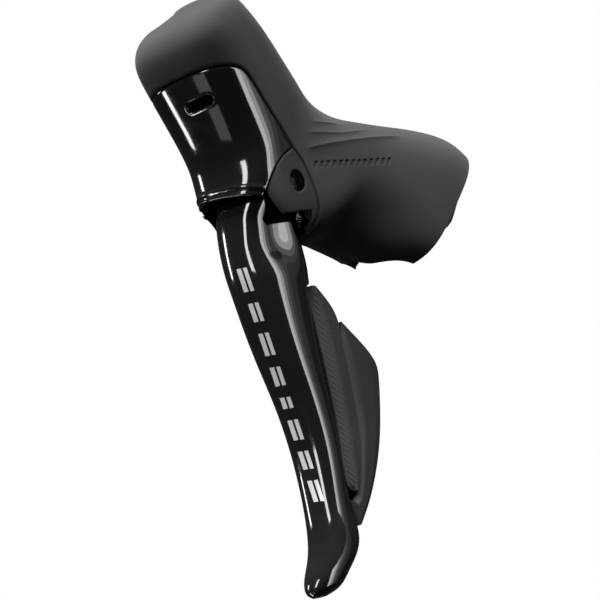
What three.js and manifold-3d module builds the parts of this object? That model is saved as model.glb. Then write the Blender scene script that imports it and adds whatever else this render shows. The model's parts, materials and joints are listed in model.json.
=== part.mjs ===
// Left-hand electronic-shift, hydraulic-brake drop-bar lever, in millimetres.
// +X points forward (away from the handlebar), +Y to the outer side, +Z up.
// The origin is the centre of the handlebar seat at the rear end of the bracket.
import * as THREE from "three";
import { mergeVertices } from "three/addons/utils/BufferGeometryUtils.js";
import Module from "manifold-3d";

const wasm = await Module();
wasm.setup();

// ---------------------------------------------------------------- driving dimensions
const GAP = 0.3; // running gap between neighbouring pieces
const RUBBER = 2.2; // wall of the rubber hood
const COVER_WALL = 1.6; // wall of the front cover
const BAR_RADIUS = 12.1; // handlebar radius with seating clearance
const BAR_SETBACK = -0.5; // handlebar axis behind the origin
const BAR_TILT = (35 * Math.PI) / 180; // the handlebar leans back from upright
const PIVOT = { x: 63.8, z: -3.8, radius: 2.5 }; // brake pivot, its axis along Y
const POCKET_HALF = 11.2; // half width of the lever mouth between the cheeks
const PISTON = { x: 62.0, z: -11.6, tilt: (26 * Math.PI) / 180, radius: 4.5 }; // axis start and rise
const SLEEVE_RADIUS = 5.8; // outer radius of the cylinder sleeve
const HORN_AXIS = new THREE.Vector3(0.55, 0, 0.835).normalize(); // the horn leans forward
const HORN_FLOOR = new THREE.Vector3(66, 0, 26); // middle of the reservoir floor
const TOP_BUTTON = new THREE.Vector3(75.6, -8.2, 44.6); // middle of the button on the horn

// Bracket envelope: top x, top z, bottom x, bottom z, half width, and the squareness of the
// upper half, of the outer lower quarter and of the inner lower quarter
const ENVELOPE = [
  [-15.0, 15.8, 19.2, -22.4, 20.0, 2.5, 3.4, 1.5],
  [-7.6, 19.2, 24.6, -20.6, 19.6, 2.6, 3.0, 1.5],
  [5.0, 20.4, 30.5, -18.4, 18.7, 2.6, 2.5, 1.5],
  [18.0, 20.2, 38.0, -16.0, 17.6, 2.6, 2.2, 1.6],
  [29.0, 20.0, 47.0, -14.6, 16.8, 2.7, 2.5, 2.2],
  [38.0, 20.6, 60.5, -17.8, 16.2, 2.8, 3.8, 3.6],
  [45.5, 23.4, 74.6, -9.0, 15.2, 2.9, 3.2, 3.2],
  [51.3, 28.0, 76.3, 2.5, 15.8, 2.9, 3.0, 3.0],
  [57.2, 33.8, 80.8, 15.0, 16.6, 2.9, 3.0, 3.0],
  [63.0, 39.6, 86.4, 26.5, 17.2, 2.9, 3.0, 3.0],
  [67.6, 44.2, 89.0, 33.5, 17.0, 2.8, 2.9, 2.9],
  [70.6, 47.6, 87.6, 39.2, 15.6, 2.6, 2.7, 2.7],
  [73.4, 49.0, 83.6, 43.4, 12.3, 2.4, 2.4, 2.4],
  [76.0, 48.8, 80.0, 46.6, 5.0, 2.0, 2.0, 2.0],
];

// Brake blade: front x, back x, inner y, outer y, z, squareness
const BLADE = [
  [70.5, 60.5, -9.4, 8.8, 3.0, 2.4],
  [73.2, 58.4, -10.6, 9.8, -8.0, 2.8],
  [74.4, 56.2, -10.6, 10.0, -20.0, 2.6],
  [73.6, 55.4, -9.4, 9.6, -30.0, 2.6],
  [71.0, 56.6, -7.2, 9.5, -45.0, 2.8],
  [68.4, 57.0, -4.6, 10.2, -60.0, 2.7],
  [67.4, 57.4, -2.4, 11.2, -75.0, 2.7],
  [68.6, 59.0, -0.4, 12.2, -89.0, 2.8],
  [72.6, 61.4, 1.6, 14.8, -99.5, 2.6],
  [78.0, 66.6, 3.6, 15.0, -106.5, 2.3],
  [79.5, 70.5, 4.9, 13.7, -110.7, 2.1],
  [78.8, 74.6, 7.4, 11.2, -112.6, 2.0],
];
const BLADE_SLANT = 0.1; // each blade section drops towards the front
// The blade's outer side is scooped between its front corner and a boss at the back
const SCOOP = { share: 0.3, top: [-12, -5], bottom: [-29, -17], back: [61, 69] };
const BOSS = { x: 57.8, z: -22.5, radius: 5, height: 0.9 };

// Side outlines (x, z). The parting line runs from the front of the horn to the lever mouth.
const PARTING_FRONT = [
  [98, 28],
  [81, 25.6],
];
const PARTING_FLANK = [
  [77.0, 23.6],
  [72.0, 16.4],
  [67.4, 10.6],
  [62.8, 4.9],
  [60.6, 1.8],
  [58.9, -2.7],
  [57.7, -7.5],
  [57.3, -11.5],
  [58.6, -16],
  [61.5, -22],
];
const PLATE_FRONT = [
  [63.6, 5.2],
  [67.0, 3.0],
  [69.4, 0.6],
  [71.2, -2.4],
  [72.2, -5.2],
];
const OUTER_PLATE_FOOT = [
  [72.8, -8.2],
  [69.9, -12.7],
  [59.9, -11.6],
  [59.6, -21],
];
const INNER_PLATE_FOOT = [
  [71.4, -5.2],
  [67.3, -7.4],
  [62.4, -13.4],
  [60.9, -21],
];
const SLOT = { y: 2.8, z: 19.2, half: 3.2, radius: 1.35 }; // adjuster opening in the front cover
const MOUTH_LINE = { x: 76, z: -5.2, slope: 0.375, shear: -0.15 }; // lower edge of the front cover
// Room for the blade's root to swing in, between the cheeks
const MOUTH = [
  [57.0, 6.2],
  [55.4, -3],
  [52.6, -13.5],
  [46, -30],
  [100, -30],
  [100, -2],
  [76.2, 0],
  [72.5, 6.2],
];

// Shift switch unit behind the blade, drawn upright and then flared outward with the blade
const FLARE = { slope: -0.062, from: -30 }; // outward lean below a height
const BAY_FRONT = [
  [61.2, -20],
  [60.6, -29],
  [60.5, -60],
  [61.8, -78],
  [62.8, -98],
]; // front wall of the bay that is cut into the blade's back
const HOUSING = {
  inner: -3.6,
  wing: 3.2,
  outer: 6.2,
  core: [
    [60.2, -29.6],
    [57.2, -30.2],
    [54.6, -36],
    [53.6, -44],
    [53.6, -62],
    [55.2, -74],
    [58.6, -86],
    [61.8, -93],
    [62.4, -93],
    [61.4, -78],
    [60.1, -60],
  ],
  backing: [
    [56, -32],
    [51.6, -40],
    [45.6, -47.5],
    [43.4, -52],
    [44.0, -57],
    [48.8, -73],
    [54.4, -84],
    [60, -90],
    [61, -86],
    [57, -60],
  ],
};
const PADDLE = { inner: 8.2, outer: 10.5 }; // faces of both paddles
const FRONT_PADDLE = [
  [60.4, -30.4],
  [58.7, -30.6],
  [53.4, -37.6],
  [52.8, -39.7],
  [53.0, -46.5],
  [53.6, -55.3],
  [53.7, -62],
  [54.8, -70.8],
  [58.2, -83.2],
  [60.5, -86.2],
  [61.9, -83.3],
  [61.1, -74],
  [60.1, -60],
  [60.2, -41.4],
];
const REAR_PADDLE = [
  [52.3, -40.2],
  [51.2, -39.9],
  [42.6, -48.0],
  [40.5, -50.8],
  [40.9, -54.6],
  [46.4, -71.5],
  [48.0, -75.5],
  [52.5, -83.2],
  [57.4, -90.3],
  [61.5, -95.3],
  [62.3, -95.0],
  [61.9, -88],
  [60.0, -87.0],
  [57.7, -83.6],
  [54.3, -71.0],
  [53.2, -62.0],
  [53.1, -55.3],
  [52.5, -46.5],
];
const PADDLE_PINS = {
  front: { x: 58.4, y: 7.4, top: -33, bottom: -84, lugs: [-34.2, -58, -80], knuckles: [-45, -70] },
  rear: { x: 50.9, y: 7.4, top: -45, bottom: -74, lugs: [-46.2, -59.5, -72.8], knuckles: [-52, -67] },
};
const PIN_RADIUS = 0.8;

// ---------------------------------------------------------------- shape helpers
const V = (x, y, z) => new THREE.Vector3(x, y, z);
const UP = V(0, 1, 0);

// A closed geometry as a manifold-3d solid
function solid(geometry) {
  const bare = geometry.clone();
  for (const name of Object.keys(bare.attributes)) {
    if (name !== "position") bare.deleteAttribute(name);
  }
  const merged = mergeVertices(bare, 1e-4);
  return new wasm.Manifold(
    new wasm.Mesh({
      numProp: 3,
      vertProperties: merged.attributes.position.array,
      triVerts: new Uint32Array(merged.index.array),
    }),
  );
}

// The largest body of a solid, without the slivers that a cut can leave
function mainBody(shape) {
  return shape.decompose().reduce((a, b) => (a.volume() > b.volume() ? a : b));
}

function geometryOf(shape) {
  const mesh = mainBody(shape).getMesh();
  const geometry = new THREE.BufferGeometry();
  geometry.setAttribute("position", new THREE.BufferAttribute(mesh.vertProperties, 3));
  geometry.setIndex(new THREE.BufferAttribute(mesh.triVerts, 1));
  geometry.computeVertexNormals();
  return geometry;
}

// Rows between key rows, on a Catmull-Rom curve through them
function interpolateRows(keys, perSpan) {
  const rows = [];
  const at = (i) => keys[Math.min(Math.max(i, 0), keys.length - 1)];
  for (let i = 0; i < keys.length - 1; i++) {
    for (let k = 0; k < perSpan; k++) {
      const f = k / perSpan;
      rows.push(
        keys[i].map((_, c) => {
          const [p0, p1, p2, p3] = [at(i - 1)[c], at(i)[c], at(i + 1)[c], at(i + 2)[c]];
          const a = 2 * p0 - 5 * p1 + 4 * p2 - p3;
          const b = -p0 + 3 * p1 - 3 * p2 + p3;
          return 0.5 * (2 * p1 + (p2 - p0) * f + a * f * f + b * f * f * f);
        }),
      );
    }
  }
  rows.push(keys[keys.length - 1].slice());
  return rows;
}

// A point of a superellipse of unit radii; its lower quarters may have their own squareness
function superellipse(turn, upper, outer = upper, inner = outer) {
  const c = Math.cos(turn);
  const s = Math.sin(turn);
  const lower = c > 0 ? outer : inner;
  const power = 2 / (s > 0 ? upper : lower);
  return [Math.sign(c) * Math.abs(c) ** power, Math.sign(s) * Math.abs(s) ** power];
}

// A closed skin through rings of equal length, with a fan at each end
function loft(rings) {
  const n = rings[0].length;
  const positions = rings.flat().flatMap((p) => [p.x, p.y, p.z]);
  const middle = (ring) => ring.reduce((a, p) => a.add(p), V(0, 0, 0)).divideScalar(n);
  const first = rings.length * n;
  for (const ring of [rings[0], rings[rings.length - 1]]) positions.push(...middle(ring));
  const index = [];
  for (let r = 0; r < rings.length - 1; r++) {
    for (let i = 0; i < n; i++) {
      const [a, b] = [r * n + i, r * n + ((i + 1) % n)];
      index.push(a, b, b + n, a, b + n, a + n);
    }
  }
  const last = (rings.length - 1) * n;
  for (let i = 0; i < n; i++) {
    const j = (i + 1) % n;
    index.push(first, j, i, first + 1, last + i, last + j);
  }
  const geometry = new THREE.BufferGeometry();
  geometry.setAttribute("position", new THREE.Float32BufferAttribute(positions, 3));
  geometry.setIndex(index);
  const shape = solid(geometry);
  if (shape.volume() > 0) return shape;
  for (let i = 0; i < index.length; i += 3) [index[i], index[i + 1]] = [index[i + 1], index[i]];
  geometry.setIndex(index);
  return solid(geometry);
}

// The bracket's outer form, shrunk by an inset on all sides but the open rear end
function envelope(inset, around = 32, perSpan = 2) {
  const rings = [];
  for (const row of interpolateRows(ENVELOPE, perSpan)) {
    const [tx, tz, bx, bz, width, upper, outer, inner] = row;
    const half = Math.hypot(tx - bx, tz - bz) / 2;
    if (half - inset < 0.8 || width - inset < 1.5) continue;
    const k = (half - inset) / half;
    const ring = [];
    for (let i = 0; i < around; i++) {
      const [c, s] = superellipse((2 * Math.PI * i) / around, upper, outer, inner);
      const x = (tx + bx) / 2 + (s * k * (tx - bx)) / 2;
      const z = (tz + bz) / 2 + (s * k * (tz - bz)) / 2;
      ring.push(V(x, (width - inset) * c, z));
    }
    rings.push(ring);
  }
  return loft(rings);
}

// The blade's form, shrunk by an inset
const { smoothstep } = THREE.MathUtils;
function scooped(x, z) {
  const { share, top, bottom, back } = SCOOP;
  return 1 - share * (1 - smoothstep(z, ...top)) * smoothstep(z, ...bottom) * smoothstep(x, ...back);
}
const swell = (x, z) =>
  BOSS.height * Math.exp(-((x - BOSS.x) ** 2 + (z - BOSS.z) ** 2) / BOSS.radius ** 2);

function bladeForm(keys, inset, around = 24, perSpan = 2) {
  return loft(
    interpolateRows(keys, perSpan).map(([front, back, inner, outer, z, power]) => {
      const ring = [];
      for (let i = 0; i < around; i++) {
        const [c, s] = superellipse((2 * Math.PI * i) / around, power);
        const x = (front + back) / 2 + (c * (front - back - 2 * inset)) / 2;
        const y = (inner + outer) / 2 + (s * (outer - inner - 2 * inset)) / 2;
        const height = z - BLADE_SLANT * (x - (front + back) / 2);
        ring.push(V(x, y > 0 ? y * scooped(x, height) + swell(x, height) * (y / outer) : y, height));
      }
      return ring;
    }),
  );
}

// A side outline (x, z) pulled from y0 to y1
function prism(points, y0, y1) {
  const shape = new THREE.Shape(points.map(([x, z]) => new THREE.Vector2(x, z)));
  const geometry = new THREE.ExtrudeGeometry(shape, { depth: y1 - y0, bevelEnabled: false });
  return solid(geometry.rotateX(Math.PI / 2).translate(0, y1, 0));
}

function box(centre, size) {
  return solid(new THREE.BoxGeometry(...size).translate(...centre));
}

// A geometry made around +Y at the origin, turned to point along a direction and set at a place
function aim(geometry, place, direction) {
  const turn = new THREE.Quaternion().setFromUnitVectors(UP, direction.clone().normalize());
  return geometry.applyQuaternion(turn).translate(place.x, place.y, place.z);
}

// A round bar from one point to another
function rod(from, to, radius, sides = 20) {
  const along = to.clone().sub(from);
  const geometry = new THREE.CylinderGeometry(radius, radius, along.length(), sides);
  return solid(aim(geometry, from.clone().addScaledVector(along, 0.5), along));
}

// A turned piece: profile points [radius, distance along the direction], from the axis or closed
function turned(profile, place, direction, sides = 24) {
  const points = profile.map(([r, t]) => new THREE.Vector2(r, t));
  if (profile[0][0] > 0) points.push(points[0].clone());
  const shape = solid(aim(new THREE.LatheGeometry(points, sides), place, direction));
  if (shape.volume() > 0) return shape;
  const back = new THREE.LatheGeometry(points.reverse(), sides);
  return solid(aim(back, place, direction));
}

function tube(from, to, outer, inner, sides = 20) {
  const length = to.distanceTo(from);
  const profile = [
    [inner, 0],
    [outer, 0],
    [outer, length],
    [inner, length],
  ];
  return turned(profile, from, to.clone().sub(from), sides);
}

// A round-wire coil around an axis; the ends are flat
function coil(from, to, radius, wire, turns) {
  const along = to.clone().sub(from);
  const steps = turns * 10;
  const points = [];
  for (let i = 0; i <= steps; i++) {
    const a = (2 * Math.PI * turns * i) / steps;
    points.push(V(radius * Math.cos(a), (along.length() * i) / steps, radius * Math.sin(a)));
  }
  return aim(sweep(points, wire, 5, steps), from, along);
}

// A round section swept along a curve through points
function sweep(points, radius, sides, steps) {
  const section = new THREE.Shape();
  for (let i = 0; i < sides; i++) {
    const a = (2 * Math.PI * i) / sides;
    const [x, y] = [radius * Math.cos(a), radius * Math.sin(a)];
    if (i === 0) section.moveTo(x, y);
    else section.lineTo(x, y);
  }
  section.closePath();
  const extrudePath = new THREE.CatmullRomCurve3(points);
  return new THREE.ExtrudeGeometry(section, { extrudePath, steps, bevelEnabled: false });
}

// ---------------------------------------------------------------- the group and its materials
const group = new THREE.Group();
const finish = (color, roughness, metalness) =>
  new THREE.MeshStandardMaterial({ color, roughness, metalness });
const MATERIALS = {
  rubber: finish(0x2a2a2c, 0.85, 0),
  gloss: finish(0x08080a, 0.12, 0.1),
  satin: finish(0x333436, 0.55, 0),
  plastic: finish(0x1d1e20, 0.6, 0),
  steel: finish(0xb9bcc0, 0.3, 1),
  alloy: finish(0x9a9da2, 0.4, 1),
  brass: finish(0xb89a54, 0.35, 1),
  seal: finish(0x141414, 0.7, 0),
  board: finish(0x14543a, 0.5, 0),
  wire: finish(0x1a1a1c, 0.6, 0),
};

function add(name, shape, material) {
  const geometry = shape.isBufferGeometry ? shape : geometryOf(shape);
  const mesh = new THREE.Mesh(geometry, MATERIALS[material]);
  mesh.name = name;
  group.add(mesh);
  return shape;
}

// ---------------------------------------------------------------- outlines
// The parting line, moved towards the front by a gap
function partingLine(gap) {
  const corner = new THREE.QuadraticBezierCurve(
    new THREE.Vector2(...PARTING_FRONT[1]),
    new THREE.Vector2(78.8, 25.4),
    new THREE.Vector2(...PARTING_FLANK[0]),
  );
  const flank = new THREE.SplineCurve(PARTING_FLANK.map((p) => new THREE.Vector2(...p)));
  const path = [PARTING_FRONT[0], ...corner.getPoints(4).map((p) => [p.x, p.y])];
  path.push(...flank.getPoints(22).slice(1).map((p) => [p.x, p.y]));
  return path.map(([x, z]) => [x + gap, z - gap * 0.8]);
}

// All that lies behind and above the parting line
function hoodRegion(gap) {
  const back = [
    [30, -60],
    [-90, -60],
    [-90, 90],
    [120, 90],
    [120, 33],
  ];
  return prism([...partingLine(gap), ...back], -40, 40);
}

// Front edge of the side plate, moved towards the front by a gap
const plateFront = (gap) => PLATE_FRONT.map(([x, z]) => [x + gap, z + gap * 0.8]);

// Outline of a side plate: its front edge, its foot and, behind, room to the parting line
function plateOutline(foot, gap) {
  return [[56, 12], ...plateFront(gap), ...foot.map(([x, z]) => [x + gap, z - gap]), [50, -21]];
}

// All that lies below the front cover's lower edge
function belowMouthLine() {
  const z = (x) => MOUTH_LINE.z + MOUTH_LINE.slope * (x - MOUTH_LINE.x);
  const shape = new THREE.Shape(
    [
      [40, z(40)],
      [110, z(110)],
      [110, -80],
      [40, -80],
    ].map((p) => new THREE.Vector2(...p)),
  );
  const geometry = new THREE.ExtrudeGeometry(shape, { depth: 80, bevelEnabled: false });
  geometry.rotateX(Math.PI / 2).translate(0, 40, 0);
  const shear = new THREE.Matrix4().set(1, 0, 0, 0, 0, 1, 0, 0, 0, MOUTH_LINE.shear, 1, 0, 0, 0, 0, 1);
  return solid(geometry.applyMatrix4(shear));
}

// ---------------------------------------------------------------- bracket, hood and covers
const outerForm = envelope(0);
const mouth = prism(MOUTH, -POCKET_HALF, POCKET_HALF);
const BAR_DIRECTION = V(-Math.sin(BAR_TILT), 0, Math.cos(BAR_TILT));
const REARWARD = V(-Math.cos(BAR_TILT), 0, -Math.sin(BAR_TILT));
const FORWARD = REARWARD.clone().multiplyScalar(-1);
const BAR_CENTRE = REARWARD.clone().multiplyScalar(BAR_SETBACK);
// A point by its distance forward of the handlebar axis, its side and its drop along the bar
const nearBar = (forward, y, drop) =>
  BAR_CENTRE.clone()
    .addScaledVector(FORWARD, forward)
    .addScaledVector(BAR_DIRECTION, -drop)
    .add(V(0, y, 0));
const barSpan = (radius, reach, drop = 0) =>
  rod(nearBar(0, 0, drop + reach), nearBar(0, 0, drop - reach), radius, 32);

// Axis of the brake cylinder, from the cam towards the handlebar
const PISTON_AXIS = V(-Math.cos(PISTON.tilt), 0, Math.sin(PISTON.tilt));
const onPistonAxis = (t) => V(PISTON.x, 0, PISTON.z).addScaledVector(PISTON_AXIS, t);
const CYLINDER = { front: 13, back: 41 }; // sleeve ends, measured from the cam

const onHorn = (x, y, t) => {
  const across = V(HORN_AXIS.z, 0, -HORN_AXIS.x);
  return HORN_FLOOR.clone()
    .addScaledVector(across, x)
    .addScaledVector(HORN_AXIS, t)
    .add(V(0, y, 0));
};
const RESERVOIR_RADIUS = 7.2;
const buttonAxis = V(0.5, -0.42, 0.76).normalize();
const buttonAt = (t) => TOP_BUTTON.clone().addScaledVector(buttonAxis, t);
const BATTERY = { x: 27, z: 3.2, radius: 8.2, bottom: -9 };
const batteryAt = (y) => V(BATTERY.x, y, BATTERY.z);
const HOSE_PORT = { start: 44, shoulder: 53.2, end: 56.6 }; // along the piston axis
const BAND = { half: 4.2, drop: -5, thickness: 1.1 };
const CLAMP_BOLT = { y: 8.6, drop: -1, tip: 9, seat: 15, top: 18.4, radius: 2.5 };
const boltPoint = (forward) => nearBar(forward, CLAMP_BOLT.y, CLAMP_BOLT.drop);

function hood() {
  const shell = outerForm.subtract(envelope(RUBBER));
  const sleeve = shell.intersect(hoodRegion(0)).subtract(mouth);
  const ends = barSpan(BAR_RADIUS + 0.2, 60);
  return sleeve.subtract(ends).subtract(rod(buttonAt(-8), buttonAt(8), 4.4, 24));
}


function bracketBody() {
  const behindCover = hoodRegion(-2.6);
  const cheeks = prism(plateOutline(OUTER_PLATE_FOOT, -1), 0, 30).add(
    prism(plateOutline(INNER_PLATE_FOOT, -1), -30, 0),
  );
  const blank = envelope(RUBBER + GAP).intersect(behindCover.add(cheeks)).subtract(mouth);
  const cuts = [
    barSpan(BAR_RADIUS, 50),
    barSpan(BAR_RADIUS + BAND.thickness + GAP, BAND.half + GAP, BAND.drop),
    rod(boltPoint(7), boltPoint(14.6), 4, 20),
    rod(boltPoint(8), boltPoint(20), CLAMP_BOLT.radius + GAP, 20),
    rod(boltPoint(CLAMP_BOLT.seat), boltPoint(40), 4.4, 20),
    rod(onPistonAxis(-20), onPistonAxis(CYLINDER.back + GAP), SLEEVE_RADIUS + GAP, 24),
    rod(onPistonAxis(CYLINDER.back), onPistonAxis(80), 3.4, 20),
    rod(onPistonAxis(HOSE_PORT.shoulder), onPistonAxis(80), 4.3, 20),
    rod(onHorn(0, 0, 0), onHorn(0, 0, 40), RESERVOIR_RADIUS + GAP, 28),
    rod(onHorn(0, 0, 1), onPistonAxis(25), 1, 8),
    rod(buttonAt(-5.6), buttonAt(12), 4.3, 24),
    rod(batteryAt(-30), batteryAt(BATTERY.bottom), BATTERY.radius + GAP, 28),
    box([46, -10.9, 8], [14.6, 6, 12.6]),
    rod(V(60, -5.6, 0), V(50, -9.6, 5), 0.9, 10),
    rod(V(PIVOT.x, -12.2, PIVOT.z), V(PIVOT.x, 30, PIVOT.z), 2.9, 24),
    rod(V(40, -7.2, 15.4), V(-12, -9.4, 12.5), 1.9, 12),
    rod(V(62, 0, 17.8), V(95, 0, 21), 2.5, 16),
  ];
  return cuts.reduce((body, cut) => body.subtract(cut), blank);
}

function frontCover() {
  let shell = outerForm.subtract(envelope(COVER_WALL));
  const plates = prism([[50, 4], ...plateFront(GAP), [72.8, -8], [72.8, -40], [50, -40]], -40, 40);
  shell = shell.subtract(hoodRegion(GAP)).subtract(plates).subtract(belowMouthLine());
  const { y, z, half, radius } = SLOT;
  let slot = box([80, y, z], [16, 2 * half, 2 * radius]);
  for (const end of [y - half, y + half]) {
    slot = slot.add(rod(V(70, end, z), V(90, end, z), radius, 16));
  }
  return shell.subtract(slot);
}

function sidePlate(side) {
  const foot = side > 0 ? OUTER_PLATE_FOOT : INNER_PLATE_FOOT;
  const [y0, y1] = side > 0 ? [POCKET_HALF + 0.1, 40] : [-40, -POCKET_HALF - 0.1];
  let plate = outerForm.subtract(envelope(COVER_WALL));
  plate = plate.intersect(prism(plateOutline(foot, 0), y0, y1)).subtract(hoodRegion(GAP));
  const eye = rod(V(PIVOT.x, side * 5, PIVOT.z), V(PIVOT.x, side * 30, PIVOT.z), 2.9, 24);
  return side > 0 ? plate.subtract(eye) : plate;
}

add("bracket_body", bracketBody(), "plastic");
add("hood_cover", hood(), "rubber");
add("front_cover", frontCover(), "gloss");
add("side_plate_outer", sidePlate(1), "satin");
add("side_plate_inner", sidePlate(-1), "satin");

// ---------------------------------------------------------------- handlebar clamp
function clampBand() {
  const ring = barSpan(BAR_RADIUS + BAND.thickness, BAND.half, BAND.drop);
  const hub = rod(boltPoint(9), boltPoint(14), 3.6, 20);
  const band = ring.add(hub).subtract(barSpan(BAR_RADIUS, 30));
  return band.subtract(rod(boltPoint(5), boltPoint(20), CLAMP_BOLT.radius + GAP, 20));
}
add("clamp_band", clampBand(), "steel");

function clampBolt() {
  const { tip, seat, top, radius } = CLAMP_BOLT;
  const screw = turned(
    [
      [0, tip],
      [radius, tip],
      [radius, seat + GAP],
      [4.1, seat + GAP],
      [4.1, top],
      [0, top],
    ],
    boltPoint(0),
    FORWARD,
  );
  return screw.subtract(rod(boltPoint(top - 2.6), boltPoint(top + 1), 2.3, 6));
}
add("clamp_bolt", clampBolt(), "steel");

// ---------------------------------------------------------------- pivot
const atPivot = (y) => V(PIVOT.x, y, PIVOT.z);
add("lever_axle", rod(atPivot(-12), atPivot(12.4), PIVOT.radius, 24), "steel");
add("axle_circlip", tube(atPivot(10), atPivot(10.8), 4, PIVOT.radius + 0.1, 20), "steel");
for (const [name, y0, y1] of [
  ["pivot_bush_inner", -9.4, -5.5],
  ["pivot_bush_outer", 5.5, 9.2],
]) {
  add(name, tube(atPivot(y0), atPivot(y1), 3.6, PIVOT.radius + 0.08, 24), "brass");
}
add("lever_return_spring", coil(atPivot(-3.4), atPivot(3.2), 3.6, 0.45, 5), "steel");

// ---------------------------------------------------------------- brake blade
function brakeBlade() {
  const bay = prism([...BAY_FRONT, [40, -98], [40, -20]], -40, 40);
  const keepHead = box([50, 0, -18], [60, 60, 22]);
  const cuts = [
    rod(atPivot(-30), atPivot(30), 3.66, 24),
    box([60, 0, -5.5], [20.4, 10.4, 23]),
    box([54, 0, -23], [14, 10.4, 20]),
    rod(V(PISTON.x, -30, PISTON.z), V(PISTON.x, 7.9, PISTON.z), 1.8, 20),
    bay.subtract(keepHead),
  ];
  return cuts.reduce((blade, cut) => blade.subtract(cut), bladeForm(BLADE, 0));
}
add("brake_lever", brakeBlade(), "gloss");
add("cam_pin", rod(V(PISTON.x, -7.4, PISTON.z), V(PISTON.x, 7.4, PISTON.z), 1.5, 20), "steel");

// ---------------------------------------------------------------- brake cylinder
add(
  "cylinder_sleeve",
  tube(onPistonAxis(CYLINDER.front), onPistonAxis(CYLINDER.back), SLEEVE_RADIUS, PISTON.radius + 0.3, 24),
  "alloy",
);
add(
  "piston",
  turned(
    [
      [0, 13.6],
      [PISTON.radius, 13.6],
      [PISTON.radius, 15.6],
      [3.2, 15.6],
      [3.2, 17.8],
      [PISTON.radius, 17.8],
      [PISTON.radius, 20],
      [3.2, 20],
      [3.2, 22.2],
      [PISTON.radius, 22.2],
      [PISTON.radius, 23.6],
      [2.2, 23.6],
      [2.2, 20.6],
      [0, 20.6],
    ],
    onPistonAxis(0),
    PISTON_AXIS,
  ),
  "alloy",
);
for (const [name, t] of [
  ["primary_seal", 20.3],
  ["secondary_seal", 15.9],
]) {
  add(name, tube(onPistonAxis(t), onPistonAxis(t + 1.6), PISTON.radius + 0.1, 3.4, 24), "seal");
}
add(
  "push_rod",
  turned(
    [
      [0, 1.9],
      [3.6, 1.9],
      [3.6, 3.4],
      [1.6, 4.4],
      [1.6, 13.3],
      [0, 13.3],
    ],
    onPistonAxis(0),
    PISTON_AXIS,
  ),
  "steel",
);
add("piston_spring", coil(onPistonAxis(24.2), onPistonAxis(40), 3.1, 0.4, 6), "steel");
add(
  "piston_retainer",
  tube(onPistonAxis(CYLINDER.front - 1.5), onPistonAxis(CYLINDER.front - 0.3), 5.6, 2.4, 24),
  "steel",
);

// ---------------------------------------------------------------- reservoir in the horn
add(
  "reservoir_diaphragm",
  turned(
    [
      [0, 3],
      [5.4, 3],
      [5.4, 9.2],
      [RESERVOIR_RADIUS, 9.2],
      [RESERVOIR_RADIUS, 10.2],
      [4.6, 10.2],
      [4.6, 3.9],
      [0, 3.9],
    ],
    onHorn(0, 0, 0),
    HORN_AXIS,
  ),
  "seal",
);
const bleedHole = rod(onHorn(0, 0, 0), onHorn(0, 0, 30), 2.2, 20);
const coverDisc = rod(onHorn(0, 0, 10.5), onHorn(0, 0, 12.7), RESERVOIR_RADIUS, 28);
add("reservoir_cover", coverDisc.subtract(bleedHole), "plastic");
add(
  "bleed_screw",
  turned(
    [
      [0, 8],
      [1.9, 8],
      [1.9, 13.9],
      [3.4, 13.9],
      [3.4, 15.2],
      [0, 15.2],
    ],
    onHorn(0, 0, 0),
    HORN_AXIS,
  ).subtract(rod(onHorn(0, 0, 14.2), onHorn(0, 0, 20), 1.2, 6)),
  "steel",
);
add("bleed_o_ring", tube(onHorn(0, 0, 12.9), onHorn(0, 0, 13.7), 3.2, 2.1, 20), "seal");

// ---------------------------------------------------------------- hose and wire ports
function hoseBolt() {
  const hollow = rod(onPistonAxis(40), onPistonAxis(70), 2.5, 16);
  const shank = rod(onPistonAxis(HOSE_PORT.start), onPistonAxis(HOSE_PORT.shoulder + 1), 3.1, 20);
  const head = rod(onPistonAxis(HOSE_PORT.shoulder + GAP), onPistonAxis(HOSE_PORT.end), 3.9, 6);
  return shank.add(head).subtract(hollow);
}
add("hose_bolt", hoseBolt(), "steel");
add("hose_port_plug", rod(onPistonAxis(49), onPistonAxis(56), 2.2, 16), "seal");
add("wire_port_plug", rod(V(14, -8.3, 13.95), V(7, -8.6, 13.56), 1.6, 16), "seal");

// ---------------------------------------------------------------- battery and electronics
add("battery", rod(batteryAt(-11.8), batteryAt(-9.3), 7.9, 28), "steel");
add("battery_cover", rod(batteryAt(-13.2), batteryAt(-12.1), 8.1, 28), "plastic");
add("circuit_board", box([46, -9.3, 8], [13.6, 1.2, 11.6]), "board");
add("wireless_module", box([45, -10.7, 9], [7, 1, 6]), "steel");
add("board_cover", box([46, -12, 7.2], [13.8, 0.8, 10]), "plastic");

// ---------------------------------------------------------------- controls on the bracket
add("top_button", rod(buttonAt(-2.4), buttonAt(0.6), 4, 24), "rubber");
add("button_switch", rod(buttonAt(-5.2), buttonAt(-3.6), 2.4, 16), "plastic");
add(
  "free_stroke_screw",
  rod(V(66, 0, 18.2), V(76.6, 0, 19.2), 2.1, 20).subtract(box([76.6, 0, 19.2], [1.6, 3.4, 0.7])),
  "steel",
);

// ---------------------------------------------------------------- shift switch unit on the blade
// Leans a solid outward with the blade
function flared(shape) {
  const { slope, from } = FLARE;
  return shape.transform([1, 0, 0, 0, 0, 1, 0, 0, 0, slope, 1, 0, 0, -slope * from, 0, 1]);
}
const upright = (x, y, top, bottom, radius, sides = 16) =>
  rod(V(x, y, bottom), V(x, y, top), radius, sides);

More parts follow.
